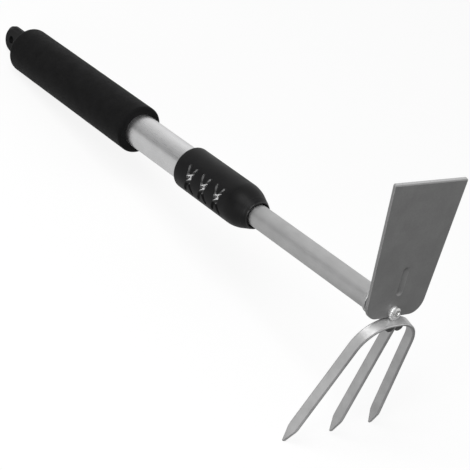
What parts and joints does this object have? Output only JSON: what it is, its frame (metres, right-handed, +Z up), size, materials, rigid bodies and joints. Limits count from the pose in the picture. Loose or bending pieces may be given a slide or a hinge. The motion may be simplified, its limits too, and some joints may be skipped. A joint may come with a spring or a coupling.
{
  "type": "hand hoe",
  "caption": "Telescopic hand hoe with a flat blade above a pronged fork, a foam grip, and a twist-lock collar on its tubular handle.",
  "frame": {"origin": "bottom centre of the tool's box as it stands on its outer tine tips and the grip's rear rim", "axes": "+X along the tool from the butt to the head, +Y to the tool's left, +Z up; the handle rises 11.45 degrees towards the head"},
  "size_m": [0.4608, 0.0778, 0.19],
  "materials": {
    "grip_foam": "matte",
    "satin_aluminium": "satin",
    "black_plastic": "satin",
    "collet_plastic": "satin",
    "plated_steel": "gloss",
    "steel_tube": "satin",
    "blade_steel": "satin",
    "weld_metal": "matte",
    "tine_steel": "satin"
  },
  "bodies": {
    "handle": {"foam_grip": "grip_foam", "outer_tube": "satin_aluminium", "end_cap": "black_plastic", "collet": "collet_plastic", "collet_pins": "plated_steel"},
    "clamp": {"clamp_ring": "collet_plastic"},
    "collar": {"twist_collar": "black_plastic"},
    "guide": {"guide_bush": "collet_plastic"},
    "head": {"retaining_ring": "plated_steel", "inner_tube": "steel_tube", "head_tang": "plated_steel", "hoe_blade": "blade_steel", "blade_weld": "weld_metal", "outer_tines": "tine_steel", "middle_tine": "tine_steel", "tine_weld": "weld_metal", "stud_weld": "weld_metal"}
  },
  "joints": [
    {"name": "collar_travel", "type": "slide", "parent": "handle", "child": "clamp", "axis": [0.9801, 0, 0.1984], "range_m": [0, 0.0015]},
    {"name": "collar_twist", "type": "hinge", "parent": "clamp", "child": "collar", "pos_m": [0.01544, 0, 0.06062], "axis": [0.9801, 0, 0.1984], "range_deg": [0, 180]},
    {"name": "telescope", "type": "slide", "parent": "handle", "child": "guide", "axis": [0.9801, 0, 0.1984], "range_m": [0, 0.1803]},
    {"name": "head_turn", "type": "hinge", "parent": "guide", "child": "head", "pos_m": [-0.17891, 0, 0.02127], "axis": [0.9801, 0, 0.1984], "continuous": true}
  ],
  "couplings": [
    {"joint": "collar_travel", "follows": "collar_twist", "m_per_rad": 0.00047746}
  ]
}
